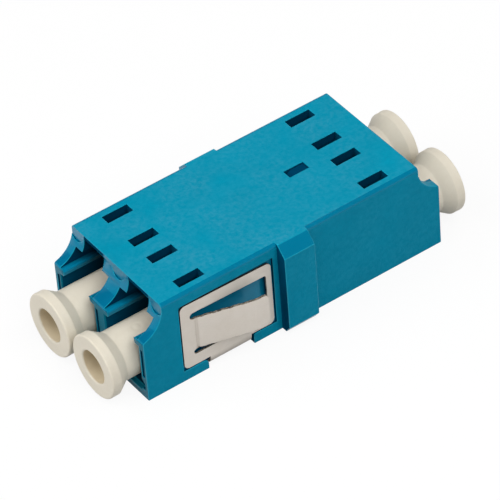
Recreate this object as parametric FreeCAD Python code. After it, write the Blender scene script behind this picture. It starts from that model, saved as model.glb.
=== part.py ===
import FreeCAD, Part
import math
import os

os.makedirs("parts", exist_ok=True)

# Millimetres. X is the mating axis, Y runs across the two ports, Z is up.
# The origin is the middle of the housing's underside.

# Ports
port_pitch = 6.25
port_size = 4.65
floor_thickness = 0.875
side_wall = 0.85
rail_reach = 0.52
rail_thickness = 0.62
rail_round = 0.2
mouth_round = 0.18
relief_height = 1.15
relief_reach = 0.5
relief_depth = 2.5
floor_lead_in = 0.3

# Housing
body_length = 29.6
roof_setback = 2.0
roof_lip = 0.4
core_roof = 0.9
end_arc_radius = 2.65
top_edge_radius = 0.32
ledge_round = 0.25
collar_length = 3.0
collar_height = 1.05
collar_top_flat = 0.12
collar_top_drop = 0.95
collar_bottom_flat = 0.5
collar_bottom_rise = 0.7
wall_recess_depth = 0.2
wall_recess_margin = 0.27
wall_recess_inner_margin = 0.24
web_recess_share = 0.425

# Latch side of the ports
latch_groove_height = 1.385
latch_block_height = 1.67
latch_block_width = 0.925
window_inset = 2.4
window_length = 2.45
window_width = 0.95
window_side_gap = 0.02

# Ejector marks on the end arcs
mark_radius = 0.9
mark_drop = 0.35
mark_middle_y = -0.3
mark_side_inset = 0.7

# Bulkhead, half barrels and insert
bulkhead_face = 2.2
joint_x = -0.7
barrel_wall = 0.45
lip_length = 0.87
lip_gap = 0.075
fit_gap = 0.03
snap_window_start = 4.15
snap_window_length = 1.96
snap_window_share = 0.5625
snap_lug_rise = 0.28
snap_lug_gap = 0.08

# Split alignment sleeves
sleeve_bore_radius = 0.625
sleeve_wall = 0.185
sleeve_length = 6.8
sleeve_slot = 0.22
sleeve_gap = 0.04

# Spring clip
clip_thickness = 0.2
clip_inset = 0.03
clip_back_gap = 0.02
clip_start = -11.12
clip_end = -2.08
clip_bottom = 1.14
clip_top_start = 7.95
clip_top_end = 7.74
clip_corner = 0.5
clip_edge_gap = 0.1
slot_end_start = -10.22
slot_end_low = -10.08
opening_bottom = 2.25
opening_top_start = 6.68
opening_top_end = 6.5
opening_end = -2.72
strap_start = -8.6
strap_end = -4.5
strap_bend = 1.0
strap_side_gap = 0.2
recess_depth = 0.55
recess_margin = 0.12
notch_round_start = 0.5
notch_round_end = 0.2

# Spring tabs
tab_root = -9.78
tab_bottom = 2.76
tab_top = 6.03
tab_bend = -5.35
tab_rise = 1.38
tab_end = -3.78
tab_end_rise = 0.1
tab_corner = 0.45
hinge_gap = 0.03

# Dust caps
cap_clearance = 0.125
cap_barrel_chamfer = 0.35
cap_length = 9.0
cap_stand_out = 2.95
cap_flange_gap = 0.49
cap_flange_round = 0.2
cap_rim = 0.85
cap_cone_end = 1.65
cap_bore_radius = 1.5
cap_mouth_chamfer = 0.12
cap_end_wall = 0.9

# Derived sizes
half_length = body_length / 2
half_roof = half_length - roof_setback
half_port = port_size / 2
port_y = (-port_pitch / 2, port_pitch / 2)
half_width = port_pitch / 2 + half_port + side_wall
web_half = port_pitch / 2 - half_port
floor_z = floor_thickness
port_axis_z = floor_z + half_port
rail_z = floor_z + port_size
rail_top_z = rail_z + rail_thickness
latch_block_z = rail_top_z + latch_groove_height
body_height = latch_block_z + latch_block_height
slot_roof_z = body_height - roof_lip
core_roof_z = body_height - core_roof
block_back = half_roof - window_inset
chamber_radius = sleeve_bore_radius + sleeve_wall + sleeve_gap
chamber_half = sleeve_length / 2 + fit_gap
barrel_radius = chamber_radius + barrel_wall
barrel_reach = chamber_half + lip_length
snap_window_half = snap_window_share * web_half
clip_face_y = half_width - clip_inset
pocket_depth = clip_inset + clip_thickness + clip_back_gap
cap_face = half_length + cap_stand_out
cap_barrel_radius = half_port - cap_clearance
cap_flange_radius = (port_pitch - cap_flange_gap) / 2
beyond = 1.0


def box(x, y, z):
    return Part.makeBox(x[1] - x[0], y[1] - y[0], z[1] - z[0], FreeCAD.Vector(x[0], y[0], z[0]))


def rod(radius, x, y, z):
    return Part.makeCylinder(radius, x[1] - x[0], FreeCAD.Vector(x[0], y, z), FreeCAD.Vector(1, 0, 0))


def prism_x(outline, x):
    points = [FreeCAD.Vector(x[0], y, z) for y, z in outline]
    return Part.Face(Part.makePolygon(points + points[:1])).extrude(FreeCAD.Vector(x[1] - x[0], 0, 0))


def prism_y(outline, y):
    points = [FreeCAD.Vector(x, y[0], z) for x, z in outline]
    return Part.Face(Part.makePolygon(points + points[:1])).extrude(FreeCAD.Vector(0, y[1] - y[0], 0))


def prism_z(outline, z):
    points = [FreeCAD.Vector(x, y, z[0]) for x, y in outline]
    return Part.Face(Part.makePolygon(points + points[:1])).extrude(FreeCAD.Vector(0, 0, z[1] - z[0]))


def fused(shapes):
    return shapes[0].multiFuse(shapes[1:]).removeSplitter()


def mirrored(shape, axis):
    return shape.mirror(FreeCAD.Vector(0, 0, 0), axis)


def flipped_x(shape):
    return mirrored(shape, FreeCAD.Vector(1, 0, 0))


def flipped_y(shape):
    return mirrored(shape, FreeCAD.Vector(0, 1, 0))


def straight_edges(shape, direction, keep):
    found = []
    for edge in shape.Edges:
        if isinstance(edge.Curve, Part.Line) and abs(edge.Curve.Direction.dot(direction)) > 0.999:
            if keep(edge.CenterOfMass):
                found.append(edge)
    return found


def end_arc_cutter():
    # What is cut off above the port mouths: a vertical lip, then a concave quarter round along Y.
    across = (-half_width - beyond, half_width + beyond)
    outside = half_length + end_arc_radius
    lip = box((half_roof, outside), across, (slot_roof_z, body_height + beyond))
    middle = FreeCAD.Vector(half_roof + end_arc_radius, across[0], slot_roof_z)
    hollow = Part.makeCylinder(end_arc_radius, across[1] - across[0], middle, FreeCAD.Vector(0, 1, 0))
    ledge = box((middle.x, outside), across, (slot_roof_z - end_arc_radius, slot_roof_z))
    return fused([lip, hollow, ledge])


def make_shell():
    # The outer block: rounded long edges, an arc at each end, and a rounded front to each ledge.
    shell = box((-half_length, half_length), (-half_width, half_width), (0, body_height))
    shell = shell.makeFillet(top_edge_radius, straight_edges(
        shell, FreeCAD.Vector(1, 0, 0), lambda p: p.z > body_height / 2))
    arc = end_arc_cutter()
    shell = shell.cut(arc).cut(flipped_x(arc))
    return shell.makeFillet(ledge_round, straight_edges(
        shell, FreeCAD.Vector(0, 1, 0), lambda p: abs(p.x) > half_length - fit_gap and p.z > rail_z))


def collar():
    # A band round the sides only: flush with the roof and the underside, bevelled towards both.
    side = half_width + collar_height
    top = half_width + collar_top_flat
    bottom = half_width + collar_bottom_flat
    right = [(bottom, 0), (side, collar_bottom_rise), (side, body_height - collar_top_drop), (top, body_height)]
    left = [(-y, z) for y, z in reversed(right)]
    return prism_x(right + left, (-collar_length / 2, collar_length / 2))


def port_core(y_low, y_high, x):
    # The plug's body below, the gap between the rounded rails, then the groove for its latch.
    wide = (y_low - half_port, y_high + half_port)
    gap = (wide[0] + rail_reach, wide[1] - rail_reach)
    core = fused([box(x, wide, (floor_z, rail_z)), box(x, gap, (rail_z, rail_top_z)),
                  box(x, wide, (rail_top_z, latch_block_z))])
    return core.makeFillet(rail_round, straight_edges(
        core, FreeCAD.Vector(1, 0, 0), lambda p: min(abs(p.y - gap[0]), abs(p.y - gap[1])) < fit_gap))


def latch_cuts(y, outer_end):
    # Behind the two retention blocks the groove is taller, and each latch lug shows in a window.
    slot_half = half_port - latch_block_width
    slot = (y - slot_half, y + slot_half)
    cuts = [
        box((block_back - fit_gap, outer_end), slot, (latch_block_z, slot_roof_z)),
        box((bulkhead_face, block_back), (y - half_port, y + half_port), (latch_block_z, core_roof_z)),
    ]
    for side in (-1, 1):
        middle = y + side * (half_port - window_side_gap - window_width / 2)
        across = (middle - window_width / 2, middle + window_width / 2)
        cuts.append(box((block_back - window_length, block_back), across, (latch_block_z, body_height + beyond)))
    return cuts


def mouth_reliefs(y):
    # Lower corners of a mouth are widened, and the floor's front edge is a lead-in.
    inside = half_length - relief_depth
    top = floor_z + relief_height
    wide = half_port + relief_reach
    outline = [
        (y - wide, floor_z), (y + wide, floor_z), (y + wide, top - relief_reach), (y + half_port, top),
        (y - half_port, top), (y - wide, top - relief_reach),
    ]
    lead = prism_y(
        [(half_length - floor_lead_in, floor_z), (half_length + beyond, floor_z),
         (half_length + beyond, floor_z - floor_lead_in), (half_length, floor_z - floor_lead_in)],
        (y - half_port, y + half_port))
    return [prism_x(outline, (inside, half_length + beyond)), lead]


def wall_recess(across):
    # A shallow upright groove in the end face of a port wall.
    return box((half_length - wall_recess_depth, half_length + beyond), across,
               (floor_z + relief_height + wall_recess_margin, rail_z - wall_recess_margin))


def outer_wall_recess():
    return wall_recess((half_width - side_wall + wall_recess_inner_margin, half_width - wall_recess_margin))


def web_recess():
    half = web_recess_share * web_half / 2
    return wall_recess((web_half / 2 - half, web_half / 2 + half))


def ejector_mark(y):
    return rod(mark_radius, (half_roof, half_length + beyond), y, body_height - mark_drop)


def end_cuts(split_walls):
    # All cuts inside the +X end. split_walls leaves the middle wall standing.
    outer_end = half_length + beyond
    if split_walls:
        cuts = [port_core(y, y, (bulkhead_face, outer_end)) for y in port_y]
    else:
        cuts = [port_core(port_y[0], port_y[1], (joint_x, outer_end)),
                box((joint_x, outer_end), (-web_half, web_half), (floor_z, slot_roof_z))]
    for y in port_y:
        cuts += latch_cuts(y, outer_end)
        cuts += mouth_reliefs(y)
    cuts += [outer_wall_recess(), flipped_y(outer_wall_recess())]
    outer_mark = half_width - mark_side_inset
    cuts += [ejector_mark(outer_mark), ejector_mark(-outer_mark)]
    if split_walls:
        cuts += [web_recess(), ejector_mark(mark_middle_y)]
    return cuts


def rounded_mouth(solid, x_sign, edge_y):
    # Rounds the upright front edges of the port walls at one end, within a thin middle wall.
    beside_groove = (1 - web_recess_share) / 2 * web_half - fit_gap
    return solid.makeFillet(min(mouth_round, beside_groove * 0.9), straight_edges(
        solid, FreeCAD.Vector(0, 0, 1),
        lambda p: p.x * x_sign > half_length - fit_gap and min(abs(abs(p.y) - y) for y in edge_y) < fit_gap / 2
        and floor_z + relief_height < p.z < rail_z))


def half_barrel(x_start, x_end):
    return rod(barrel_radius, (min(x_start, x_end), max(x_start, x_end)), 0, 0)


def barrel_bore(side):
    # The sleeve's chamber, then a lip that holds the sleeve in and widens outwards to lead the ferrule in.
    chamber = rod(chamber_radius, (-chamber_half, chamber_half), 0, 0)
    lip = Part.makeCone(sleeve_bore_radius + lip_gap, chamber_radius, lip_length,
                        FreeCAD.Vector(side * chamber_half, 0, 0), FreeCAD.Vector(side, 0, 0))
    return fused([chamber, lip])


def at_port(shape, y):
    moved = shape.copy()
    moved.translate(FreeCAD.Vector(0, y, port_axis_z))
    return moved


def clip_pocket():
    # Seat of the clip on the -Y side: frame pocket, deeper recess under the tab, strap channel below.
    face = -half_width
    frame = box((clip_start - clip_edge_gap, clip_end + clip_edge_gap), (face - beyond, face + pocket_depth),
                (clip_bottom - clip_edge_gap, clip_top_start + clip_edge_gap / 2))
    recess = box((slot_end_start - recess_margin, opening_end + recess_margin), (face - beyond, face + recess_depth),
                 (opening_bottom - recess_margin, opening_top_start + recess_margin))
    channel = box((strap_start - strap_side_gap, strap_end + strap_side_gap), (face - beyond, 0),
                  (-beyond, clip_bottom))
    kept = box((strap_start - beyond, strap_end + beyond), (face + pocket_depth, beyond),
               (pocket_depth, clip_bottom + beyond))
    inner_bend = strap_bend - clip_thickness - clip_back_gap
    corner = straight_edges(kept, FreeCAD.Vector(1, 0, 0), lambda p: p.y < 0 and p.z < clip_bottom)
    seat = fused([frame, channel.cut(kept.makeFillet(inner_bend, corner))])
    for x, radius in ((strap_start - strap_side_gap, notch_round_start), (strap_end + strap_side_gap, notch_round_end)):
        seat = seat.makeFillet(radius, straight_edges(
            seat, FreeCAD.Vector(0, 1, 0),
            lambda p: abs(p.x - x) < fit_gap and abs(p.z - clip_bottom + clip_edge_gap) < fit_gap))
    return [seat, recess]


def make_housing():
    pocket = clip_pocket()
    cuts = [flipped_x(cut) for cut in end_cuts(True)] + end_cuts(False)
    cuts += pocket + [flipped_y(cut) for cut in pocket]
    snap = (snap_window_start, snap_window_start + snap_window_length)
    cuts.append(box(snap, (-snap_window_half, snap_window_half), (slot_roof_z - beyond, body_height + beyond)))
    solid = fused([make_shell(), collar()]).cut(fused(cuts[:1]).multiFuse(cuts[1:]))
    barrels = [at_port(half_barrel(-barrel_reach, joint_x), y) for y in port_y]
    bores = [at_port(barrel_bore(-1), y) for y in port_y]
    solid = solid.multiFuse(barrels).cut(bores[0].fuse(bores[1])).removeSplitter()
    outer_edge = port_pitch / 2 + half_port
    return rounded_mouth(rounded_mouth(solid, -1, (web_half, outer_edge)), 1, (outer_edge,))


def make_insert():
    # Plate, the far half barrels and the far middle wall, pushed in from the +X end until the lug snaps.
    plate_x = (joint_x + fit_gap, bulkhead_face)
    plate = port_core(port_y[0] + fit_gap, port_y[1] - fit_gap, plate_x)
    plate = plate.common(box(plate_x, (-half_width, half_width), (floor_z + fit_gap, latch_block_z - fit_gap)))
    notch = half_port - rail_reach + fit_gap
    for side in (-1, 1):
        rail = sorted([side * (port_pitch / 2 + notch - 2 * fit_gap), side * half_width])
        plate = plate.cut(box(plate_x, rail, (rail_z - fit_gap, rail_top_z + fit_gap)))
    web_side = web_half - fit_gap
    web = box((joint_x + fit_gap, half_length), (-web_side, web_side), (floor_z + fit_gap, slot_roof_z - fit_gap))
    rails = box((bulkhead_face, half_length), (-web_half - rail_reach, web_half + rail_reach), (rail_z, rail_top_z))
    rails = rails.makeFillet(rail_round, straight_edges(rails, FreeCAD.Vector(1, 0, 0), lambda p: True))
    solid = fused([plate, web, rails]).common(make_shell()).cut(web_recess())
    lug_start = snap_window_start + snap_lug_gap
    lug_end = snap_window_start + snap_window_length - snap_lug_gap
    lug_base = slot_roof_z - beyond / 2
    lug_top = slot_roof_z + snap_lug_rise
    lug_half = snap_window_half - snap_lug_gap
    lug = prism_y([(lug_start, lug_base), (lug_end, lug_base), (lug_end, lug_top),
                   (lug_start + 2 * snap_lug_rise, lug_top), (lug_start, slot_roof_z - fit_gap)],
                  (-lug_half, lug_half))
    barrels = [at_port(half_barrel(joint_x + fit_gap, barrel_reach), y) for y in port_y]
    bores = [at_port(barrel_bore(1), y) for y in port_y]
    solid = solid.multiFuse(barrels + [lug]).cut(bores[0].fuse(bores[1])).removeSplitter()
    return rounded_mouth(solid, 1, (web_side,))


def make_sleeve(y):
    # A thin split tube. The slot faces up.
    reach = (-sleeve_length / 2, sleeve_length / 2)
    tube = rod(sleeve_bore_radius + sleeve_wall, reach, 0, 0).cut(rod(sleeve_bore_radius, reach, 0, 0))
    slot = box(reach, (-sleeve_slot / 2, sleeve_slot / 2), (0, beyond))
    return at_port(tube.cut(slot), y)


def clip_frame():
    # One side of the clip, flat in XZ, with the opening that its tab is cut from.
    y = (-clip_face_y, -clip_face_y + clip_thickness)
    plate = prism_y([(clip_start, clip_bottom), (clip_end, clip_bottom), (clip_end, clip_top_end),
                     (clip_start, clip_top_start)], y)
    plate = plate.makeFillet(clip_corner, straight_edges(plate, FreeCAD.Vector(0, 1, 0), lambda p: True))
    root_edge = tab_root - clip_thickness / 2 - hinge_gap
    opening = prism_y([(root_edge, opening_bottom), (opening_end, opening_bottom), (opening_end, opening_top_end),
                       (root_edge, opening_top_start)], y)
    opening = opening.makeFillet(clip_thickness, straight_edges(
        opening, FreeCAD.Vector(0, 1, 0), lambda p: p.x > tab_bend))
    slots = []
    for low, high, start in ((tab_top, opening_top_start, slot_end_start), (opening_bottom, tab_bottom, slot_end_low)):
        slot = box((start, root_edge + beyond), y, (low, high))
        ends = straight_edges(slot, FreeCAD.Vector(0, 1, 0), lambda p: p.x < root_edge)
        slots.append(slot.makeFillet((high - low) / 2.02, ends))
    return plate.cut(opening.multiFuse(slots))


def make_clip():
    # Two framed sides joined by a strap that wraps the underside.
    sides = [clip_frame(), flipped_y(clip_frame())]
    x = (strap_start, strap_end)
    low = clip_inset
    top = clip_bottom + clip_thickness
    outside = box(x, (-clip_face_y, clip_face_y), (low, top))
    inside = box(x, (-clip_face_y + clip_thickness, clip_face_y - clip_thickness), (low + clip_thickness, top))
    along = FreeCAD.Vector(1, 0, 0)
    outside = outside.makeFillet(strap_bend, straight_edges(outside, along, lambda p: p.z < top / 2))
    inside = inside.makeFillet(strap_bend - clip_thickness, straight_edges(inside, along, lambda p: p.z < top / 2))
    return fused(sides + [outside.cut(inside)])


def make_tab(side):
    # A bent strip: out from a round nose at its root, then nearly level to the free end.
    half = clip_thickness / 2
    middle = -clip_face_y + half
    slope = math.atan2(tab_rise, tab_bend - tab_root)
    level = math.atan2(tab_end_rise, tab_end - tab_bend)
    mean = (slope + level) / 2
    end_y = middle - tab_rise - tab_end_rise
    bend = FreeCAD.Vector(math.sin(mean), math.cos(mean), 0) * (half / math.cos((slope - level) / 2))
    outline = [
        (tab_root + half * math.sin(slope), middle + half * math.cos(slope)),
        (tab_bend + bend.x, middle - tab_rise + bend.y),
        (tab_end, end_y + half),
        (tab_end, end_y - half),
        (tab_bend - bend.x, middle - tab_rise - bend.y),
        (tab_root - half * math.sin(slope), middle - half * math.cos(slope)),
    ]
    strip = prism_z(outline, (tab_bottom, tab_top))
    free = straight_edges(strip, FreeCAD.Vector(0, 1, 0), lambda p: p.x > tab_end - half)
    strip = strip.makeFillet(tab_corner, free)
    nose = Part.makeCylinder(half, tab_top - tab_bottom, FreeCAD.Vector(tab_root, middle, tab_bottom))
    tab = strip.fuse(nose).removeSplitter()
    return tab if side < 0 else flipped_y(tab)


def make_cap(side, y):
    # A spool: round face, rim, cone and barrel, turned about the port's axis, blind at its inner end.
    rim = cap_flange_radius
    outline = [
        (0, cap_bore_radius + cap_mouth_chamfer), (0, rim - cap_flange_round), (cap_flange_round, rim),
        (cap_rim, rim), (cap_cone_end, cap_barrel_radius),
        (cap_length - cap_barrel_chamfer, cap_barrel_radius), (cap_length, cap_barrel_radius - cap_barrel_chamfer),
        (cap_length, 0), (cap_length - cap_end_wall, 0), (cap_length - cap_end_wall, cap_bore_radius),
        (cap_mouth_chamfer, cap_bore_radius),
    ]
    points = [FreeCAD.Vector(side * (cap_face - t), 0, r) for t, r in outline]
    edges = [Part.makeLine(a, b) for a, b in zip(points, points[1:] + points[:1])]
    lean = cap_flange_round * (1 - math.sqrt(0.5))
    knee = FreeCAD.Vector(side * (cap_face - lean), 0, rim - lean)
    edges[1] = Part.Arc(points[1], knee, points[2]).toShape()
    section = Part.Face(Part.Wire(edges))
    return at_port(section.revolve(FreeCAD.Vector(0, 0, 0), FreeCAD.Vector(1, 0, 0), 360), y)


def save(name, shape):
    solids = shape.Solids
    assert len(solids) == 1 and solids[0].isValid(), f"{name}: {len(solids)} solids"
    solids[0].exportStep(f"parts/{name}.step")
    bounds = solids[0].BoundBox
    print(f"{name}: {solids[0].Volume:.3f} mm3, x {bounds.XMin:.2f}..{bounds.XMax:.2f}, "
          f"y {bounds.YMin:.2f}..{bounds.YMax:.2f}, z {bounds.ZMin:.2f}..{bounds.ZMax:.2f}")


save("housing", make_housing())
save("sleeve_insert", make_insert())
for port, port_middle in zip("ab", port_y):
    save(f"split_sleeve_{port}", make_sleeve(port_middle))
    save(f"near_cap_{port}", make_cap(-1, port_middle))
    save(f"far_cap_{port}", make_cap(1, port_middle))
save("spring_clip", make_clip())
save("spring_tab_a", make_tab(-1))
save("spring_tab_b", make_tab(1))
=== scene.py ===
import itertools
import math

import bmesh
import bpy
import numpy as np
from mathutils import Matrix, Vector


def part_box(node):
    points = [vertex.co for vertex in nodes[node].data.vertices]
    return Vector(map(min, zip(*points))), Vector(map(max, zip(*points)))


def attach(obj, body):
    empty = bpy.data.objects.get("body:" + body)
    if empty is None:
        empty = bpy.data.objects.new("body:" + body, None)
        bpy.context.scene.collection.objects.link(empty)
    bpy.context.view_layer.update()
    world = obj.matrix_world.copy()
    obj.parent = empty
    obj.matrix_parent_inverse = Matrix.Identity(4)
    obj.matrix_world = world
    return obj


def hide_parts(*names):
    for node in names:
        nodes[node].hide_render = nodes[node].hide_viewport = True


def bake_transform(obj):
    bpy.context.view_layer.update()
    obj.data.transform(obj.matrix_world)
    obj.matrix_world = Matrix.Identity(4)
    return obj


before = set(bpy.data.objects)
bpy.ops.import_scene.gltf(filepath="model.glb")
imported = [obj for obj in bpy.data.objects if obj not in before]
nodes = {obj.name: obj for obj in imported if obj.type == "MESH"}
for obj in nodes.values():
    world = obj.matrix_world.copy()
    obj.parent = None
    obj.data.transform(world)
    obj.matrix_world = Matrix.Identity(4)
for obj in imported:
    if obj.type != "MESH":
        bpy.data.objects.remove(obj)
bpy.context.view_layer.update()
mm = 0.001
print("frame loaded:", len(nodes), "CAD nodes")


# ---- camera ----
camera = {
    "azimuth": -32.836, "elevation": 42.103, "roll": -4.704,   # degrees
    "distance": 360.14 * mm, "target": (0.033 * mm, 0, 3.302 * mm),
    "lens": 317.14, "sensor": 36.0, "clip": (0.02, 5.0),
}


def makeCamera(v):
    a, e, r = (math.radians(v[k]) for k in ("azimuth", "elevation", "roll"))
    back = Vector((math.sin(a) * math.cos(e), -math.cos(a) * math.cos(e), math.sin(e)))
    right = Vector((math.cos(a), math.sin(a), 0))
    up = back.cross(right)
    rolledRight = right * math.cos(r) + up * math.sin(r)
    rolledUp = up * math.cos(r) - right * math.sin(r)
    data = bpy.data.cameras.new("camera")
    data.lens, data.sensor_width = v["lens"], v["sensor"]
    data.clip_start, data.clip_end = v["clip"]
    cam = bpy.data.objects.new("camera", data)
    bpy.context.collection.objects.link(cam)
    turn = Matrix((rolledRight, rolledUp, back)).transposed()
    cam.matrix_world = Matrix.Translation(Vector(v["target"]) + back * v["distance"]) @ turn.to_4x4()
    bpy.context.scene.camera = cam


makeCamera(camera)
bpy.context.scene.view_settings.view_transform = "Standard"


# ---- node helpers ----
def addNode(tree, kind, inputs=None, **settings):
    # inputs: socket name or number -> a value, or another node's output socket to link
    node = tree.nodes.new(kind)
    for key, value in settings.items():
        setattr(node, key, value)
    for key, value in (inputs or {}).items():
        setInput(tree, node, key, value)
    return node


def setInput(tree, node, key, value):
    if isinstance(value, bpy.types.NodeSocket):
        tree.links.new(value, node.inputs[key])
    else:
        node.inputs[key].default_value = value


def newGroup(name, inputs, outputs):
    # inputs and outputs: (name, kind, default); kind is Float, Color or Vector
    tree = bpy.data.node_groups.new(name, "ShaderNodeTree")
    for label, kind, value in inputs:
        socket = tree.interface.new_socket(label, in_out="INPUT", socket_type="NodeSocket" + kind)
        if value is not None:
            socket.default_value = value
    for label, kind in outputs:
        tree.interface.new_socket(label, in_out="OUTPUT", socket_type="NodeSocket" + kind)
    return tree, tree.nodes.new("NodeGroupInput"), tree.nodes.new("NodeGroupOutput")


def newMaterial(name):
    material = bpy.data.materials.new(name)
    material.use_nodes = True
    tree = material.node_tree
    tree.nodes.clear()
    output = tree.nodes.new("ShaderNodeOutputMaterial")
    shader = tree.nodes.new("ShaderNodeBsdfPrincipled")
    tree.links.new(shader.outputs["BSDF"], output.inputs["Surface"])
    return material, tree, shader


def maths(tree, operation, a, b=0.0):
    return addNode(tree, "ShaderNodeMath", {0: a, 1: b}, operation=operation).outputs[0]


def mixColour(tree, factor, a, b):
    node = addNode(tree, "ShaderNodeMix", data_type="RGBA")
    setInput(tree, node, 0, factor)
    setInput(tree, node, 6, a)
    setInput(tree, node, 7, b)
    return node.outputs[2]


def mixValue(tree, factor, a, b):
    node = addNode(tree, "ShaderNodeMix", data_type="FLOAT")
    setInput(tree, node, 0, factor)
    setInput(tree, node, 2, a)
    setInput(tree, node, 3, b)
    return node.outputs[0]


def spread(tree, value, low, high, toLow=0.0, toHigh=1.0):
    node = addNode(tree, "ShaderNodeMapRange", {
        "Value": value, "From Min": low, "From Max": high, "To Min": toLow, "To Max": toHigh})
    return node.outputs["Result"]


# ---- shared effects ----
# each "edges" pair is where a noise starts and stops counting
effects = {
    "patchEdges": (0.32, 0.68), "pitEdges": (0.1, 0.75), "pitBlend": 0.7, "driftEdges": (0.3, 0.7),
    "scratchEdges": (0.69, 0.74), "scratchTurns": (0.35, 1.9), "scratchTilt": 0.4,
    "scratchStretch": 0.06, "scratchScale": 6.0, "cloudEdges": (0.35, 0.68), "lineEdges": (0.35, 0.65),
}


def makeSparkTexture():
    # The grain a spark-eroded mould leaves: soft patches with a finer pitting on top.
    tree, given, result = newGroup("sparkTexture", [
        ("Vector", "Vector", None), ("Patch Size", "Float", 0.4), ("Pit Size", "Float", 0.12),
        ("Pit Share", "Float", 0.35)], [("Height", "Float"), ("Patches", "Float"), ("Pits", "Float")])
    patchScale = maths(tree, "DIVIDE", 1.0 / mm, given.outputs["Patch Size"])
    pitScale = maths(tree, "DIVIDE", 1.0 / mm, given.outputs["Pit Size"])
    patches = addNode(tree, "ShaderNodeTexNoise", {
        "Vector": given.outputs["Vector"], "Scale": patchScale, "Detail": 2.0,
        "Roughness": 0.55, "Distortion": 0.3})
    pits = addNode(tree, "ShaderNodeTexVoronoi", {
        "Vector": given.outputs["Vector"], "Scale": pitScale,
        "Smoothness": effects["pitBlend"]}, feature="SMOOTH_F1")
    patchMask = spread(tree, patches.outputs["Fac"], *effects["patchEdges"])
    pitMask = spread(tree, pits.outputs["Distance"], *effects["pitEdges"])
    height = mixValue(tree, given.outputs["Pit Share"], patchMask, pitMask)
    tree.links.new(height, result.inputs["Height"])
    tree.links.new(patchMask, result.inputs["Patches"])
    tree.links.new(pitMask, result.inputs["Pits"])
    return tree


def makeToneDrift():
    # Slow change of shade in a moulding, from how the plastic flowed.
    tree, given, result = newGroup("toneDrift", [
        ("Vector", "Vector", None), ("Colour", "Color", (1, 1, 1, 1)), ("Size", "Float", 6.0),
        ("Amount", "Float", 0.06)], [("Colour", "Color")])
    scale = maths(tree, "DIVIDE", 1.0 / mm, given.outputs["Size"])
    drift = addNode(tree, "ShaderNodeTexNoise", {
        "Vector": given.outputs["Vector"], "Scale": scale, "Detail": 3.0,
        "Roughness": 0.5, "Distortion": 0.8})
    centred = spread(tree, drift.outputs["Fac"], *effects["driftEdges"], -1.0, 1.0)
    value = maths(tree, "ADD", maths(tree, "MULTIPLY", centred, given.outputs["Amount"]), 1.0)
    shade = addNode(tree, "ShaderNodeHueSaturation", {
        "Color": given.outputs["Colour"], "Value": value})
    tree.links.new(shade.outputs["Color"], result.inputs["Colour"])
    return tree


def makeFaintScratches():
    # Short handling marks in two directions, thin and few.
    tree, given, result = newGroup("faintScratches", [
        ("Vector", "Vector", None), ("Spacing", "Float", 1.0),
        ("Amount", "Float", 1.0)], [("Marks", "Float")])
    total = None
    stretch = effects["scratchStretch"] / mm
    for turn in effects["scratchTurns"]:
        mapping = addNode(tree, "ShaderNodeMapping", {
            "Vector": given.outputs["Vector"], "Rotation": (effects["scratchTilt"], turn, turn),
            "Scale": (1.0 / mm, stretch, stretch)})
        scale = maths(tree, "DIVIDE", effects["scratchScale"], given.outputs["Spacing"])
        grain = addNode(tree, "ShaderNodeTexNoise", {
            "Vector": mapping.outputs["Vector"], "Scale": scale, "Detail": 1.0, "Roughness": 0.5})
        marks = spread(tree, grain.outputs["Fac"], *effects["scratchEdges"])
        total = marks if total is None else maths(tree, "MAXIMUM", total, marks)
    tree.links.new(maths(tree, "MULTIPLY", total, given.outputs["Amount"]), result.inputs["Marks"])
    return tree


sparkTexture = makeSparkTexture()
toneDrift = makeToneDrift()
faintScratches = makeFaintScratches()


def useGroup(tree, group, inputs):
    return addNode(tree, "ShaderNodeGroup", inputs, node_tree=group)


# ---- moulded plastic ----
blueTextured = {
    "colour": (0.0, 0.254, 0.388), "paler": (0.0, 0.275, 0.414), "palerShare": 1.0,
    "roughness": (0.4, 0.5), "specular": 0.16, "tint": (0.0, 0.5, 0.85),
    "patchSize": 0.38, "pitSize": 0.13, "pitShare": 0.4, "bumpHeight": 0.007,   # sizes in mm
    "drift": 0.035, "scratches": 0.5, "scratchRough": 0.08, "scratchDepth": 0.5,
    "haze": (0.05, 0.285, 0.415), "hazeSize": 4.5, "hazeShare": 0.48,
}
# a darker copy of the textured blue for the side faces: painted shade, as the sides get less light than
# the top
blueSidesShaded = {
    **blueTextured, "colour": (0.0, 0.226, 0.36), "paler": (0.0, 0.245, 0.385),
    "haze": (0.02, 0.285, 0.43), "hazeShare": 0.3, "specular": 0.07,
}
bluePolished = {
    "colour": (0.0, 0.178, 0.312), "paler": (0.0, 0.19, 0.326), "palerShare": 0.4,
    "roughness": (0.14, 0.22), "specular": 0.5, "tint": (0.12, 0.75, 1.0),
    "patchSize": 0.9, "pitSize": 0.2, "pitShare": 0.15, "bumpHeight": 0.0015,
    "drift": 0.04, "scratches": 0.8, "scratchRough": 0.08, "scratchDepth": 0.5,
}
# a paler blue for the small rounds along the edges: a painted highlight
blueEdgeHighlight = {
    **bluePolished, "colour": (0.004, 0.28, 0.42), "paler": (0.01, 0.3, 0.44), "specular": 0.6,
}
# the rails fade to near black towards the middle: painted shade inside the ports
blueRails = {**bluePolished, "shadeTo": (0.0, 0.026, 0.06), "shadeOver": (11.3, 13.3)}
# a darker polished blue for the upward-facing ledges and lower arcs: painted shade
blueLedgesShaded = {
    **bluePolished, "colour": (0.0, 0.142, 0.268), "paler": (0.0, 0.152, 0.28),
    "specular": 0.45, "tint": (0.1, 0.7, 1.0),
}
# a darker blue for the faces at both ends: painted shade, as these faces get little light
blueEndsShaded = {
    "colour": (0.0, 0.14, 0.22), "paler": (0.0, 0.15, 0.235), "palerShare": 0.4,
    "roughness": (0.3, 0.38), "specular": 0.18, "tint": (0.0, 0.6, 0.9),
    "patchSize": 0.5, "pitSize": 0.15, "pitShare": 0.3, "bumpHeight": 0.003,
    "drift": 0.04, "scratches": 0.6, "scratchRough": 0.08, "scratchDepth": 0.5,
}
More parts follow.
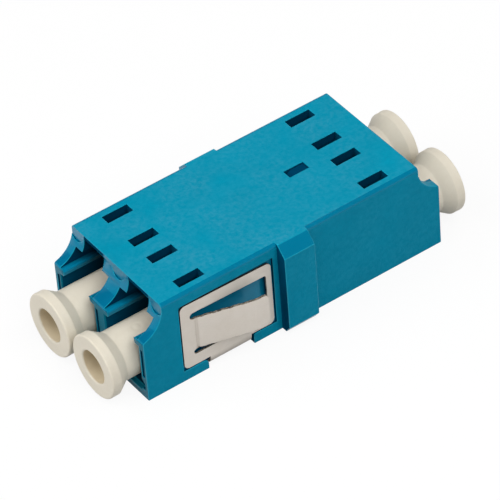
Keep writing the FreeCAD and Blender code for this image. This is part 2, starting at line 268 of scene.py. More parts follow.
# a dark blue for hollows, the round marks' walls and one collar shoulder: painted shade
blueInsideShade = {
    "colour": (0.0, 0.068, 0.143), "paler": (0.0, 0.076, 0.153), "palerShare": 0.4,
    "roughness": (0.4, 0.5), "specular": 0.0, "tint": (0.0, 0.6, 0.9),
    "patchSize": 0.7, "pitSize": 0.18, "pitShare": 0.2, "bumpHeight": 0.002,
    "drift": 0.05, "scratches": 0.4, "scratchRough": 0.08, "scratchDepth": 0.5,
}
# a still darker blue for the ports' ceilings and under the lips: painted shade
blueDeepShade = {**blueInsideShade, "colour": (0.0, 0.042, 0.098), "paler": (0.0, 0.047, 0.104)}
creamMoulded = {
    "colour": (0.745, 0.685, 0.565), "paler": (0.775, 0.72, 0.605), "palerShare": 0.5,
    "roughness": (0.42, 0.52), "specular": 0.45, "tint": (1.0, 1.0, 1.0),
    "patchSize": 0.35, "pitSize": 0.11, "pitShare": 0.35, "bumpHeight": 0.003,
    "drift": 0.025, "scratches": 0.3, "scratchRough": 0.08, "scratchDepth": 0.5,
}
# a warmer, darker cream for the inside of the bore: painted shade
creamBoreShade = {
    "colour": (0.74, 0.635, 0.45), "paler": (0.76, 0.66, 0.48), "palerShare": 0.5,
    "roughness": (0.35, 0.45), "specular": 0.4, "tint": (1.0, 0.95, 0.85),
    "patchSize": 0.5, "pitSize": 0.14, "pitShare": 0.3, "bumpHeight": 0.002,
    "drift": 0.03, "scratches": 0.4, "scratchRough": 0.08, "scratchDepth": 0.5,
}


def makePlastic(name, v):
    material, tree, shader = newMaterial(name)
    place = addNode(tree, "ShaderNodeTexCoord").outputs["Object"]
    grain = useGroup(tree, sparkTexture, {
        "Vector": place, "Patch Size": v["patchSize"],
        "Pit Size": v["pitSize"], "Pit Share": v["pitShare"]})
    scratches = useGroup(tree, faintScratches, {"Vector": place, "Amount": v["scratches"]})
    marks = scratches.outputs["Marks"]
    share = maths(tree, "MULTIPLY", grain.outputs["Patches"], v["palerShare"])
    colour = mixColour(tree, share, (*v["colour"], 1), (*v["paler"], 1))
    if "haze" in v:      # a pale bloom that comes and goes over the outside
        clouds = useGroup(tree, sparkTexture, {"Vector": place, "Patch Size": v["hazeSize"]})
        speckle = maths(tree, "MULTIPLY", grain.outputs["Patches"], v["hazeShare"])
        bloom = maths(tree, "MULTIPLY", clouds.outputs["Patches"], speckle)
        colour = mixColour(tree, bloom, colour, (*v["haze"], 1))
    # painted shade: the rails' colour darkens as they run into the ports
    if "shadeTo" in v:    # the rails darken as they run into the ports
        inner, outer = v["shadeOver"]
        parts = addNode(tree, "ShaderNodeSeparateXYZ", {0: place})
        alongX = maths(tree, "ABSOLUTE", parts.outputs["X"])
        inside = spread(tree, alongX, outer * mm, inner * mm)
        colour = mixColour(tree, inside, colour, (*v["shadeTo"], 1))
    drifted = useGroup(tree, toneDrift, {"Vector": place, "Colour": colour, "Amount": v["drift"]})
    tree.links.new(drifted.outputs["Colour"], shader.inputs["Base Color"])
    rough = mixValue(tree, grain.outputs["Pits"], *v["roughness"])
    scuffed = maths(tree, "ADD", rough, maths(tree, "MULTIPLY", marks, v["scratchRough"]))
    tree.links.new(scuffed, shader.inputs["Roughness"])
    scored = maths(tree, "MULTIPLY", marks, v["scratchDepth"])
    height = maths(tree, "SUBTRACT", grain.outputs["Height"], scored)
    bump = addNode(tree, "ShaderNodeBump", {
        "Height": height, "Strength": 1.0, "Distance": v["bumpHeight"] * mm})
    tree.links.new(bump.outputs["Normal"], shader.inputs["Normal"])
    shader.inputs["Specular IOR Level"].default_value = v["specular"]
    shader.inputs["Specular Tint"].default_value = (*v["tint"], 1)
    return material


texturedBlue = makePlastic("texturedBlue", blueTextured)
shadedSideBlue = makePlastic("shadedSideBlue", blueSidesShaded)
polishedBlue = makePlastic("polishedBlue", bluePolished)
highlightEdgeBlue = makePlastic("highlightEdgeBlue", blueEdgeHighlight)
railBlue = makePlastic("railBlue", blueRails)
shadedLedgeBlue = makePlastic("shadedLedgeBlue", blueLedgesShaded)
shadedEndBlue = makePlastic("shadedEndBlue", blueEndsShaded)
shadedInsideBlue = makePlastic("shadedInsideBlue", blueInsideShade)
deepShadeBlue = makePlastic("deepShadeBlue", blueDeepShade)
creamPlastic = makePlastic("creamPlastic", creamMoulded)
shadedCream = makePlastic("shadedCream", creamBoreShade)
print("plastics ready")


# ---- spring steel and ceramic ----
rolledSteel = {
    "colour": (0.72, 0.665, 0.6), "darker": (0.66, 0.6, 0.525),
    "roughness": (0.46, 0.56), "metallic": 0.4,
    "lineSpacing": 0.05, "lineShare": 0.2, "bumpHeight": 0.0012, "cloudSize": 1.6, "blotches": 0.55,
    # lowShade and lowTop: painted shade, darkening the colour from lowTop (mm) down to z = 0
    "lowShade": 0.3, "lowTop": 1.2,
}
# a darker steel for the bend creases: painted shade
creaseShadeSteel = {**rolledSteel, "colour": (0.63, 0.575, 0.51), "darker": (0.59, 0.53, 0.46)}
shearedSteel = {
    "colour": (0.5, 0.44, 0.355), "darker": (0.03, 0.02, 0.012),
    "roughness": (0.5, 0.65), "metallic": 0.3,
    "lineSpacing": 0.035, "lineShare": 0.2, "bumpHeight": 0.012, "cloudSize": 0.22, "blotches": 0.95,
    "lowShade": 1.0, "lowTop": 1.2,
}
# near black steel for the clip's rim beside the frame: painted shadow in the gap
rimPaintedShadowSteel = {
    **shearedSteel, "colour": (0.05, 0.045, 0.04), "darker": (0.02, 0.017, 0.014),
    "bumpHeight": 0.006, "cloudSize": 0.3, "blotches": 0.55,
}


def makeSteel(name, v, lineStretch):
    # Fine parallel lines from rolling or shearing, over slow cloudy patches.
    material, tree, shader = newMaterial(name)
    place = addNode(tree, "ShaderNodeTexCoord").outputs["Object"]
    stretched = addNode(tree, "ShaderNodeMapping", {"Vector": place, "Scale": lineStretch})
    lines = addNode(tree, "ShaderNodeTexNoise", {
        "Vector": stretched.outputs["Vector"], "Scale": 1.0 / (v["lineSpacing"] * mm),
        "Detail": 2.0, "Roughness": 0.6})
    clouds = addNode(tree, "ShaderNodeTexNoise", {
        "Vector": place, "Scale": 1.0 / (v["cloudSize"] * mm),
        "Detail": 4.0, "Roughness": 0.6, "Distortion": 0.6})
    cloudMask = spread(tree, clouds.outputs["Fac"], *effects["cloudEdges"])
    lineMask = spread(tree, lines.outputs["Fac"], *effects["lineEdges"])
    blotch = maths(tree, "MULTIPLY", cloudMask, v["blotches"])
    share = maths(tree, "ADD", blotch, maths(tree, "MULTIPLY", lineMask, v["lineShare"]))
    colour = mixColour(tree, share, (*v["colour"], 1), (*v["darker"], 1))
    # painted shade: the colour darkens towards the underside
    height = addNode(tree, "ShaderNodeSeparateXYZ", {0: place}).outputs["Z"]
    paintedLowShade = spread(tree, height, 0.0, v["lowTop"] * mm, v["lowShade"], 1.0)
    lowShadedColour = addNode(tree, "ShaderNodeHueSaturation", {"Color": colour, "Value": paintedLowShade})
    tree.links.new(lowShadedColour.outputs["Color"], shader.inputs["Base Color"])
    tree.links.new(mixValue(tree, lineMask, *v["roughness"]), shader.inputs["Roughness"])
    bump = addNode(tree, "ShaderNodeBump", {
        "Height": lineMask, "Strength": 1.0, "Distance": v["bumpHeight"] * mm})
    tree.links.new(bump.outputs["Normal"], shader.inputs["Normal"])
    shader.inputs["Metallic"].default_value = v["metallic"]
    return material


alongSheet, acrossEdge = (0.08, 1.0, 1.0), (1.0, 0.25, 1.0)
sheetSteel = makeSteel("sheetSteel", rolledSteel, alongSheet)
cutSteel = makeSteel("cutSteel", shearedSteel, acrossEdge)
shadedCreaseSteel = makeSteel("shadedCreaseSteel", creaseShadeSteel, alongSheet)
paintedShadowSteel = makeSteel("paintedShadowSteel", rimPaintedShadowSteel, acrossEdge)

ceramic = {
    "colour": (0.82, 0.81, 0.77), "warmer": (0.78, 0.75, 0.68), "roughness": (0.12, 0.2),
    "patchSize": 0.5, "pitSize": 0.06, "pitShare": 0.6,
}


def makeCeramic(name, v):
    material, tree, shader = newMaterial(name)
    place = addNode(tree, "ShaderNodeTexCoord").outputs["Object"]
    grain = useGroup(tree, sparkTexture, {
        "Vector": place, "Patch Size": v["patchSize"],
        "Pit Size": v["pitSize"], "Pit Share": v["pitShare"]})
    colour = mixColour(tree, grain.outputs["Patches"], (*v["colour"], 1), (*v["warmer"], 1))
    tree.links.new(colour, shader.inputs["Base Color"])
    tree.links.new(mixValue(tree, grain.outputs["Pits"], *v["roughness"]), shader.inputs["Roughness"])
    return material


zirconia = makeCeramic("zirconia", ceramic)
print("steel and ceramic ready")


# ---- copies of the CAD shells ----
shellCopy = {"weld": 0.0002 * mm, "flatAngle": 0.3, "sharpAngle": 30.0}


def mergedCopy(pieceName, source):
    # The node's triangles joined at their shared corners, and flat runs of them made whole faces again.
    cadMesh = nodes[source].data
    corners = np.empty(len(cadMesh.vertices) * 3)
    cadMesh.vertices.foreach_get("co", corners)
    corners = corners.reshape(-1, 3)
    order = np.empty(len(cadMesh.loops), int)
    cadMesh.loops.foreach_get("vertex_index", order)
    keys = np.round(corners / shellCopy["weld"]).astype(np.int64)
    _, first, same = np.unique(keys, axis=0, return_index=True, return_inverse=True)
    triangles = same.reshape(-1)[order].reshape(-1, 3)
    mesh = bpy.data.meshes.new(pieceName)
    mesh.from_pydata(corners[first].tolist(), [], triangles.tolist())
    work = bmesh.new()
    work.from_mesh(mesh)
    flat = math.radians(shellCopy["flatAngle"])
    bmesh.ops.dissolve_limit(work, angle_limit=flat, verts=work.verts, edges=work.edges)
    return mesh, work


def finishCopy(pieceName, mesh, work, v, keepSharp, edgeMaterial, body, source):
    # Every crisp outer edge gets a small round, apart from those keepSharp picks.
    weights = work.edges.layers.float.new("bevel_weight_edge")
    sharp = math.radians(shellCopy["sharpAngle"])
    for edge in work.edges:
        crisp = edge.is_manifold and edge.calc_face_angle(0) > sharp
        if crisp and (keepSharp(edge) or not edge.is_convex):
            edge.smooth = False
        elif crisp:
            edge[weights] = 1.0
    for face in work.faces:
        face.smooth = True
    work.to_mesh(mesh)
    work.free()
    piece = bpy.data.objects.new(pieceName, mesh)
    bpy.context.collection.objects.link(piece)
    bevel = piece.modifiers.new("edgeRound", "BEVEL")
    bevel.limit_method = "WEIGHT"
    bevel.width, bevel.segments = v["edgeRound"] * mm, v["segments"]
    bevel.use_clamp_overlap = False
    # for the housing and insert this is the paler edge blue, a painted highlight on every round
    bevel.material = edgeMaterial
    bevel.face_strength_mode = "FSTR_AFFECTED"
    weighted = piece.modifiers.new("flatShading", "WEIGHTED_NORMAL")
    weighted.keep_sharp = True
    weighted.use_face_influence = True
    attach(piece, body)
    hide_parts(source)
    return piece


# ---- housing and insert ----
# lengths in mm; near is how close counts as touching, facing how square to an axis a face has to be
shell = {
    "edgeRound": 0.05, "segments": 2, "near": 0.01, "facing": 0.9, "level": 0.99, "tilted": 0.02,
    "halfLength": 14.8, "halfRoof": 12.8, "halfWidth": 6.3, "roof": 9.2,
    "arcFoot": 6.1, "endDepth": 0.3, "lip": 0.4, "longEdge": 0.32, "portY": 3.125, "slotHalf": 1.4,
    "markReach": 1.5, "markSide": 0.2, "arcRise": 0.05, "upright": 0.5, "endFacing": 0.3,
    "railLow": 5.525, "railHigh": 6.145, "railPlay": 0.02, "railFrom": 3,
    "recessFloor": 5.47, "recessPlay": 0.05, "recessFrom": 1, "recessEnd": 11.3,
    "ledgeFrom": 0.73, "collarPlay": 0.001, "windowPlay": 0.05,
}
# each finish of the moulding, in the order of its material slots; end, inside, ledge, deep, side and
# the rails' inner ends are painted shade, edge a painted highlight
finishes = {
    "textured": texturedBlue, "polished": polishedBlue, "end": shadedEndBlue, "inside": shadedInsideBlue,
    "ledge": shadedLedgeBlue, "deep": deepShadeBlue, "rail": railBlue, "side": shadedSideBlue, "edge": highlightEdgeBlue,
}


def arcFinish(centre, normal, v):
    # The curved cut-outs at both ends, their ledges, the lip above each port and the round marks.
    outX, outY = abs(centre.x), abs(centre.y)
    # under the lip above each port: the deep blue, a painted shade
    onLip = outX < v["halfRoof"] + v["near"] and centre.z > v["roof"] - v["lip"]
    if onLip and abs(outY - v["portY"]) < v["slotHalf"]:
        return "deep"
    high = centre.z > v["roof"] - v["markReach"]
    # the walls of the round marks take the inside blue, a painted shade
    inMark = high and abs(normal.x) < v["markSide"] and normal.z < v["level"]
    if inMark and outY < v["halfWidth"] - v["near"]:
        return "inside"
    if normal.z <= v["arcRise"] and abs(normal.x) <= v["upright"]:
        return None
    if centre.x > 0:
        return "textured"
    # the ledges at the near end take the darker ledge blue, a painted shade
    return "ledge" if normal.z > v["ledgeFrom"] else "polished"


def collarFinish(centre, normal, v):
    # shoulders facing along X: the +Y one polished, the -Y one in the inside blue as painted shade
    if abs(normal.x) > v["upright"]:
        return "polished" if centre.y > 0 else "inside"
    if abs(normal.z) > v["level"]:
        return "textured"
    # collar faces looking along Y take the darker side blue, a painted shade
    return "side" if abs(normal.y) > v["facing"] else "polished"


def shellFinish(face, v):
    centre, normal = face.calc_center_median() / mm, face.normal
    outX, outY = abs(centre.x), abs(centre.y)
    if outX > v["halfRoof"] - v["near"] and centre.z > v["arcFoot"]:
        found = arcFinish(centre, normal, v)
        if found:
            return found
    # end faces take the darker end blue, a painted shade
    if outX > v["halfLength"] - v["endDepth"] and abs(normal.x) > v["endFacing"]:
        return "end"
    railLow, railHigh = v["railLow"] - v["railPlay"], v["railHigh"] + v["railPlay"]
    onRail = railLow < centre.z < railHigh and normal.z > -v["upright"] and outX > v["railFrom"]
    if onRail and outY < v["recessFloor"]:
        return "rail"
    inRecess = v["recessFloor"] < outY < v["halfWidth"] - v["recessPlay"]
    facesSide = abs(normal.y) > v["facing"]
    if inRecess and facesSide and centre.z > v["recessFrom"] and outX < v["recessEnd"]:
        return "polished"
    if outY > v["halfWidth"] + v["collarPlay"]:
        return collarFinish(centre, normal, v)
    onLongEdge = outY > v["halfWidth"] - v["longEdge"] - v["near"]
    if onLongEdge and normal.z > v["tilted"] and abs(normal.y) > v["tilted"]:
        return "polished"
    # side faces take the darker side blue, a painted shade
    if outY > v["halfWidth"] - v["near"] and facesSide:
        return "side"
    if centre.z > v["roof"] - v["near"] or centre.z < v["near"]:
        return "textured"
    # hollows take the inside blue and, in the ports above the rails, the deep blue: painted shade
    inPort = outY < v["recessFloor"] and outX < v["halfRoof"] - v["near"]
    return "deep" if inPort and centre.z > railHigh and abs(normal.x) < v["facing"] else "inside"


def cutFaces(work, picked, y):
    # Divides flat faces along a plane across Y, so each stretch can have its own finish.
    faces = [f for f in work.faces if picked(f.calc_center_median() / mm, f)]
    edges = list({e for f in faces for e in f.edges})
    corners = list({c for f in faces for c in f.verts})
    bmesh.ops.bisect_plane(
        work, geom=faces + edges + corners, plane_co=(0, y * mm, 0), plane_no=(0, 1, 0))


def makeShell(pieceName, source, v):
    mesh, work = mergedCopy(pieceName, source)

    def lip(centre, face):
        top = max(c.co.z for c in face.verts) / mm
        return (abs(abs(centre.x) - v["halfRoof"]) < v["near"]
                and abs(face.normal.x) > v["facing"] and top > v["roof"] - v["near"])

    # edges inside the roof windows stay crisp
    def inWindow(edge):
        centre = (edge.verts[0].co + edge.verts[1].co) / 2 / mm
        return (v["railHigh"] < centre.z < v["roof"] - v["windowPlay"]
                and abs(centre.y) < v["recessFloor"]
                and abs(centre.x) < v["halfRoof"] - v["windowPlay"])

    for port, side in itertools.product((-1, 1), repeat=2):
        cutFaces(work, lip, port * v["portY"] + side * v["slotHalf"])
    slots = list(finishes)
    for face in work.faces:
        face.material_index = slots.index(shellFinish(face, v))
    for material in finishes.values():
        mesh.materials.append(material)
    # the rounds take the paler edge blue, a painted highlight
    return finishCopy(pieceName, mesh, work, v, inWindow,
                      slots.index("edge"), "adapter", source)


makeShell("mouldedHousing", "housing", shell)
makeShell("mouldedInsert", "sleeve_insert", shell)
print("housing and insert ready")


# ---- clip ----
clip = {
    "edgeRound": 0.03, "segments": 2, "rootX": -9.91, "rootZ": (2.7, 6.1),
    "topFrom": 6.9, "topGap": 0.09, "farFrom": -2.45, "farGap": 0.1,
    "rimTop": 7.3, "rimNear": -10.9, "strapTop": 1.3, "rootPlay": 0.02,
    "flatSide": 0.7, "strapSide": 0.3, "strapTilt": 0.02,
}


def makeClip(v):
    mesh, work = mergedCopy("springClipSheet", "spring_clip")
    # a little more play above and behind the frame than the nominal clearance
    for corner in work.verts:
        corner.co.z -= v["topGap"] * mm * (corner.co.z > v["topFrom"] * mm)
        corner.co.x -= v["farGap"] * mm * (corner.co.x > v["farFrom"] * mm)
    for face in work.faces:
        centre, normal = face.calc_center_median() / mm, face.normal
        strap = (centre.z < v["strapTop"] and abs(normal.x) < v["strapSide"]
                 and abs(normal.z) > v["strapTilt"])
        rim = centre.z > v["rimTop"] or centre.x > v["farFrom"] or centre.x < v["rimNear"]
        flat = abs(normal.y) > v["flatSide"] or strap
        # 0 rolled faces, 1 sheared edges, 2 the rim beside the frame, painted near black as shadow
        face.material_index = 0 if flat else 2 if rim else 1
    for material in (sheetSteel, cutSteel, paintedShadowSteel):
        mesh.materials.append(material)

    def atTabRoot(edge):
        middle = (edge.verts[0].co + edge.verts[1].co) / 2 / mm
        low, high = v["rootZ"]
        return abs(middle.x - v["rootX"]) < v["rootPlay"] and low < middle.z < high

    ownMaterial = -1
    return finishCopy("springClipSheet", mesh, work, v, atTabRoot,
                      ownMaterial, "adapter", "spring_clip")


makeClip(clip)
print("clip ready")


# ---- surfaces from arrays ----
def gridPiece(pieceName, points, materials, facePicks):
    # points: rings x around x 3; each ring is joined to the next, and the two end rings are filled
    rings, around, _ = points.shape
    mesh = bpy.data.meshes.new(pieceName)
    mesh.vertices.add(rings * around)
    mesh.vertices.foreach_set("co", points.reshape(-1))
    i, j = np.meshgrid(np.arange(rings - 1), np.arange(around), indexing="ij")
    after = (j + 1) % around
    here, onward = i * around, (i + 1) * around
    quads = np.stack([here + j, here + after, onward + after, onward + j], -1).reshape(-1, 4)
    startFill, endFill = np.arange(around)[::-1], (rings - 1) * around + np.arange(around)
    loops = np.concatenate([quads.reshape(-1), startFill, endFill])
    sizes = np.concatenate([np.full(len(quads), 4), [around, around]])
    starts = np.concatenate([[0], np.cumsum(sizes)[:-1]])
    mesh.loops.add(len(loops))
    mesh.loops.foreach_set("vertex_index", loops.astype(np.int32))
    mesh.polygons.add(len(sizes))
    mesh.polygons.foreach_set("loop_start", starts.astype(np.int32))
    mesh.update(calc_edges=True)
    mesh.validate()
    for material in materials:
        mesh.materials.append(material)
    mesh.polygons.foreach_set("material_index", facePicks.astype(np.int32))
    mesh.shade_smooth()
    piece = bpy.data.objects.new(pieceName, mesh)
    bpy.context.collection.objects.link(piece)
    return piece


def bentLine(corners, radii, step):
    # Straight lines joined by arcs; an arc is start + r sin(a) inward + r (1 - cos(a)) side.
    points = [np.array(corners[0], float)]
    for k in range(1, len(corners) - 1):
        before, here, after = (np.array(corners[n], float) for n in (k - 1, k, k + 1))
        inward, outward = here - before, after - here
        inward, outward = inward / np.linalg.norm(inward), outward / np.linalg.norm(outward)
        turn = math.acos(np.clip(inward @ outward, -1, 1))
        reach = radii[k - 1] * math.tan(turn / 2)
        count = max(3, int(math.ceil(radii[k - 1] * turn / step)))
        share = np.linspace(0, 1, count + 1)[:, None]
        start = here - inward * reach
        side = outward - inward * (inward @ outward)
        side = side / np.linalg.norm(side)
        angle = share * turn
        points.extend(start + radii[k - 1] * (np.sin(angle) * inward + (1 - np.cos(angle)) * side))
    points.append(np.array(corners[-1], float))
    return np.array(points)


# ---- spring tabs ----
tab = {
    "rootX": -9.91, "middle": 6.17, "thickness": 0.2,
    "firstBend": -9.62, "rampEnd": -4.9, "rampRise": 1.38, "endX": -3.55, "endRise": 0.1,
    "bendRadii": (1.1, 1.5), "low": 2.76, "high": 6.03, "tipRound": 0.45,
    "rollSide": 0.03, "burrSide": 0.02, "flexEnd": -8.3,
    "creaseDepth": 0.07, "creaseWidth": 0.18, "creaseShares": (1.0, 0.5), "creaseFrom": 0.5,
    "outerShare": 0.9,
    "bendStep": 0.06, "alongSteps": 170, "tipSteps": 12, "faceSteps": 8, "edgeSteps": 4,
    "ripple": 0.018, "rippleFrom": 0.15, "rippleOver": 0.4, "sharpAngle": 50,
    # waves of the sheared edges: (share of the ripple, turns of phase per mm, phase)
    "lowWaves": ((1, 6.1, 0), (0.6, 17, 2), (0.5, 37, 0)),
    "highWaves": ((1, 5.2, 1), (0.7, 13, 0), (0.55, 31, 1), (0.4, 53, 0)),
}


def makeTab(pieceName, source, side, v):
    # A flat section with rounded long edges, carried along the bent middle line of the sheet.
    middle, half = v["middle"], v["thickness"] / 2
    tip = middle + v["rampRise"] + v["endRise"]
    corners = [(v["rootX"], middle), (v["firstBend"], middle),
               (v["rampEnd"], middle + v["rampRise"]), (v["endX"], tip)]
    line = bentLine(corners, v["bendRadii"], v["bendStep"])
    steps = np.concatenate([[0], np.cumsum(np.linalg.norm(np.diff(line, axis=0), axis=1))])
    length = steps[-1]
    even = np.linspace(0, length - v["tipRound"], v["alongSteps"])
    tipTurn = np.linspace(0, math.pi / 2, v["tipSteps"])
    corner = length - v["tipRound"] + v["tipRound"] * np.sin(tipTurn)[1:]
    along = np.concatenate([even, corner])
    path = np.stack([np.interp(along, steps, line[:, k]) for k in (0, 1)], -1)
    heading = np.gradient(path, along, axis=0)
    heading /= np.linalg.norm(heading, axis=1)[:, None]
    outward = np.stack([-heading[:, 1], heading[:, 0]], -1)
    inCorner = np.clip(along - (length - v["tipRound"]), 0, v["tipRound"])
    trim = v["tipRound"] - np.sqrt(np.clip(v["tipRound"] ** 2 - inCorner ** 2, 0, None))
    # the sheared edges run a little unevenly, fading out at the root
    fade = np.clip((along - v["rippleFrom"]) / v["rippleOver"], 0, 1) * v["ripple"]
    lowWave, highWave = (
        sum(size * np.sin(rate * along + shift) for size, rate, shift in v[waves])
        for waves in ("lowWaves", "highWaves"))
    low = v["low"] + trim + fade * lowWave
    high = v["high"] - trim + fade * highWave
    # pressed lines where the sheet was bent, on the outer face
    bends = (v["firstBend"] - v["rootX"], length - (v["endX"] - v["rampEnd"]))
    crease = sum(share * np.exp(-((along - bend) / v["creaseWidth"]) ** 2)
                 for bend, share in zip(bends, v["creaseShares"]))
    # section: out along the outer face, round the top edge, back along the inner face, round the bottom
    # each point is (distance from the middle, height as 0..1 between the edges, height added in mm)
    turn = np.linspace(0, math.pi / 2, v["edgeSteps"])
    roll, burr = v["rollSide"], v["burrSide"]
    faceSteps = np.linspace(0, 1, v["faceSteps"])
    section = [(half, s, roll * (1 - 2 * s)) for s in faceSteps]
    section += [(half - roll + roll * math.cos(a), 1, -roll + roll * math.sin(a)) for a in turn[1:]]
    section += [(-half + burr - burr * math.sin(a), 1, -burr + burr * math.cos(a)) for a in turn]
    section += [(-half, 1 - s, burr * (2 * s - 1)) for s in faceSteps[1:]]
    section += [(-half + burr - burr * math.cos(a), 0, burr - burr * math.sin(a)) for a in turn[1:]]
    section += [(half - roll + roll * math.sin(a), 0, roll - roll * math.cos(a)) for a in turn[:-1]]
    offset, height, fixed = np.array(section).T
    away = offset[None, :] - v["creaseDepth"] * crease[:, None] * (offset > half * v["outerShare"])
    x = path[:, :1] + outward[:, :1] * away
    y = path[:, 1:] + outward[:, 1:] * away
    z = low[:, None] * (1 - height) + high[:, None] * height + fixed
    points = np.stack([x, y * side, z], -1) * mm
    if side < 0:
        # faces have to look outwards on both sides
        points = points[:, ::-1]
        offset = offset[::-1]
    # 0 rolled faces, 1 sheared edges and both ends, 2 creases in a painted shade
    flat = np.isclose(np.abs(offset), half, rtol=0, atol=1e-9)
    flatFace = flat & np.roll(flat, -1)
    picks = np.where(np.tile(flatFace, len(along) - 1), 0, 1)
    creaseShadeFaces = np.repeat(crease[1:] > v["creaseFrom"], len(offset)) & (picks == 0)
    picks = np.concatenate([np.where(creaseShadeFaces, 2, picks), [1, 1]])
    piece = gridPiece(pieceName, points, [sheetSteel, cutSteel, shadedCreaseSteel], picks)
    piece.data.set_sharp_from_angle(angle=math.radians(v["sharpAngle"]))
    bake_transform(piece)
    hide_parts(source)
    return piece


makeTab("springTabA", "spring_tab_a", -1, tab)
makeTab("springTabB", "spring_tab_b", 1, tab)
print("tabs ready")


# ---- dust caps ----
cap = {
    "around": 144, "length": 9.0, "rim": 2.88, "barrel": 2.2, "bore": 1.5, "boreDepth": 8.1,
    "rimWidth": 0.85, "coneEnd": 1.85, "endChamfer": 0.35,
    "boreRound": 0.2, "mouthRound": 0.15, "faceRound": 0.15, "rimRound": 0.12, "footRound": 0.2,
    "endRound": 0.08, "bendStep": 0.03, "ringStep": 0.12, "sharpAngle": 50,
    "seamRise": 0.012, "seamWidth": 3.0,   # width in degrees
    "wall": 0.3, "markFrom": 0.25, "markOver": 0.2, "near": 0.01, "shadeFrom": 0.15,
    "gateX": 4.28, "gateRadius": 0.35, "gateDepth": 0.035, "gateLine": 0.08,
    "gateTurns": {"near_cap_a": 98.0, "near_cap_b": 197.0, "far_cap_a": 290.0, "far_cap_b": 121.0},
}


def capProfile(v):
    # From the middle of the bore's end, out of the bore, round the rim and back along the barrel.
    corners = [
        (v["boreDepth"], 0.0), (v["boreDepth"], v["bore"]), (0.0, v["bore"]), (0.0, v["rim"]),
        (v["rimWidth"], v["rim"]), (v["coneEnd"], v["barrel"]),
        (v["length"] - v["endChamfer"], v["barrel"]), (v["length"], v["barrel"] - v["endChamfer"]),
        (v["length"], 0.0)]
    rounds = ("boreRound", "mouthRound", "faceRound", "rimRound", "footRound", "endRound", "endRound")
    rounded = bentLine(corners, [v[key] for key in rounds], v["bendStep"])
    # long straight runs get evenly spaced rings between their ends
    filled = [rounded[0]]
    for start, end in zip(rounded[:-1], rounded[1:]):
        gap = np.linalg.norm(end - start)
        for s in np.linspace(0, 1, max(2, int(gap / v["ringStep"]) + 1))[1:]:
            filled.append(start + (end - start) * s)
    return np.array(filled)


def makeCap(pieceName, source, end, v):
    # Each profile point is turned about the port's axis: y = r cos(turn), z = r sin(turn).
    # A mould seam and a gate mark change r a little.
    low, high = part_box(source)
    middleY = (low.y + high.y) / 2 / mm
    middleZ = (low.z + high.z) / 2 / mm
    face = (high.x if end > 0 else low.x) / mm
    profile = capProfile(v)
    depth, radius = profile[1:-1, 0][:, None], profile[1:-1, 1][:, None]
    turn = np.linspace(0, 2 * math.pi, v["around"], endpoint=False)[None, :]
    # the outside is wherever the profile is well beyond the bore; the marks fade out towards the face
    outside = radius > v["bore"] + v["wall"]
    outer = outside * np.clip((depth - v["markFrom"]) / v["markOver"], 0, 1)
    fromSeam = np.degrees(np.arccos(np.clip(np.abs(np.cos(turn)), 0, 1)))
    seam = np.exp(-(fromSeam / v["seamWidth"]) ** 2)
    gateAngle = math.radians(v["gateTurns"][source])
    across = (turn - gateAngle + math.pi) % (2 * math.pi) - math.pi
    away = np.sqrt((depth - v["gateX"]) ** 2 + (across * v["barrel"]) ** 2)
    gate = -v["gateDepth"] * np.exp(-((away - v["gateRadius"]) / v["gateLine"]) ** 2)
    rise = outer * (v["seamRise"] * (seam - 1) + gate)
    r = radius + np.minimum(rise, 0)
    x = face - end * (depth + 0 * turn)
    y = middleY + r * np.cos(turn) * -end
    z = middleZ + r * np.sin(turn)
    points = np.stack([x, y, z], -1) * mm
    ringRadius, ringDepth = radius[:-1, 0], depth[:-1, 0]
    shadedBoreRings = ((ringRadius < v["bore"] + v["near"]) & (ringDepth > v["shadeFrom"])
              & (ringDepth < v["boreDepth"] + v["near"]))
    # 0 outside, 1 in the bore in a painted shade; the last two are the bore's end and the cap's closed
    # end
    picks = np.concatenate([np.repeat(shadedBoreRings.astype(int), v["around"]), [1, 0]])
    piece = gridPiece(pieceName, points, [creamPlastic, shadedCream], picks)
    piece.data.set_sharp_from_angle(angle=math.radians(v["sharpAngle"]))
    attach(piece, source)
    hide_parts(source)
    return piece


for end, word in ((-1, "near"), (1, "far")):
    for port in "ab":
        makeCap(f"{word}DustCap{port.upper()}", f"{word}_cap_{port}", end, cap)
print("caps ready")

for name in ("split_sleeve_a", "split_sleeve_b"):
    nodes[name].data.materials.clear()
    nodes[name].data.materials.append(zirconia)


# ---- stage and light ----
stage = {
    "floorSize": 3.0, "floorDrop": 0.01 * mm, "white": 1.0, "shownShare": 0.9, "glossyShare": 0.4,
    "paper": (0.92, 0.92, 0.92), "paperBounce": (0.45, 0.45, 0.45),
    "world": 0.2, "glossyLow": 0.85, "glossyHigh": 0.05, "glossyEdge": (0.38, 0.46),
}


def anyLooking(tree):
    seen = addNode(tree, "ShaderNodeLightPath")
    shown = maths(tree, "MAXIMUM", seen.outputs["Is Camera Ray"], seen.outputs["Is Transmission Ray"])
    return shown, seen.outputs["Is Glossy Ray"]


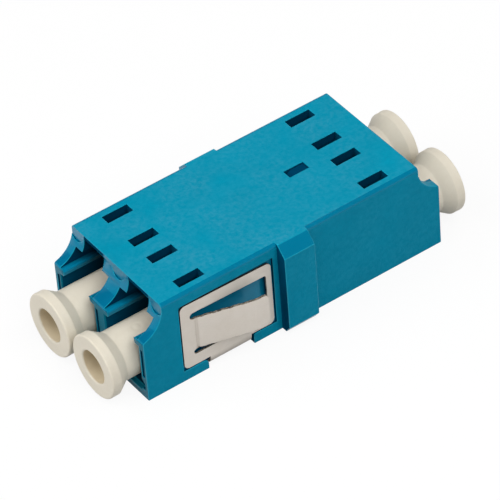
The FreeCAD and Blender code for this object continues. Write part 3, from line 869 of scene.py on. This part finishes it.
def makeStage(v):
    # White where it is looked at or mirrored, with part of its own shading left in so that the shadow
    # stays. It lies just below z = 0, clear of the part's underside.
    half, low = v["floorSize"] / 2, -v["floorDrop"]
    corners = [(x * half, y * half, low) for x, y in ((-1, -1), (1, -1), (1, 1), (-1, 1))]
    mesh = bpy.data.meshes.new("floor")
    mesh.from_pydata(corners, [], [(0, 1, 2, 3)])
    floor = bpy.data.objects.new("floor", mesh)
    bpy.context.collection.objects.link(floor)
    material = bpy.data.materials.new("floorPaper")
    material.use_nodes = True
    tree = material.node_tree
    tree.nodes.clear()
    shown, glossy = anyLooking(tree)
    share = maths(tree, "MAXIMUM", maths(tree, "MULTIPLY", shown, v["shownShare"]),
                  maths(tree, "MULTIPLY", glossy, v["glossyShare"]))
    seen = maths(tree, "MAXIMUM", shown, glossy)
    shade = mixColour(tree, seen, (*v["paperBounce"], 1), (*v["paper"], 1))
    paper = addNode(tree, "ShaderNodeBsdfDiffuse", {"Color": shade})
    glow = addNode(tree, "ShaderNodeEmission", {"Strength": v["white"]})
    mix = addNode(tree, "ShaderNodeMixShader", {0: share, 1: paper.outputs[0], 2: glow.outputs[0]})
    addNode(tree, "ShaderNodeOutputMaterial", {"Surface": mix.outputs[0]})
    mesh.materials.append(material)


def makeWorld(v):
    # Mirrored, the room is bright near the horizon and dark overhead.
    world = bpy.data.worlds.new("studio")
    bpy.context.scene.world = world
    world.use_nodes = True
    tree = world.node_tree
    tree.nodes.clear()
    shown, glossy = anyLooking(tree)
    direction = addNode(tree, "ShaderNodeTexCoord").outputs["Generated"]
    height = addNode(tree, "ShaderNodeSeparateXYZ", {0: direction}).outputs["Z"]
    mirrored = spread(tree, height, *v["glossyEdge"], v["glossyLow"], v["glossyHigh"])
    strength = mixValue(tree, glossy, v["world"], mirrored)
    strength = mixValue(tree, shown, strength, v["white"])
    back = addNode(tree, "ShaderNodeBackground", {"Color": (1, 1, 1, 1), "Strength": strength})
    addNode(tree, "ShaderNodeOutputWorld", {"Surface": back.outputs[0]})


makeStage(stage)
makeWorld(stage)

lamps = {
    # name: (direction from the part, distance in m, size in m, power in W)
    "key": ((-0.75, 0.2, 0.63), 0.8, 0.8, 4.7),
    "overFront": ((0.05, -0.55, 0.83), 0.6, 0.5, 2.6),
    "rear": ((0.8, 0.35, 0.55), 0.8, 0.6, 0.7),
}


def makeLamp(name, direction, distance, size, power):
    data = bpy.data.lights.new(name, "AREA")
    data.shape, data.size, data.energy = "SQUARE", size, power
    lamp = bpy.data.objects.new(name, data)
    bpy.context.collection.objects.link(lamp)
    towards = Vector(direction).normalized()
    lamp.location = towards * distance
    lamp.rotation_mode = "QUATERNION"
    lamp.rotation_quaternion = towards.to_track_quat("Z", "Y")
    lamp.visible_glossy = False


for name, values in lamps.items():
    makeLamp(name, *values)
print("stage and lamps ready")
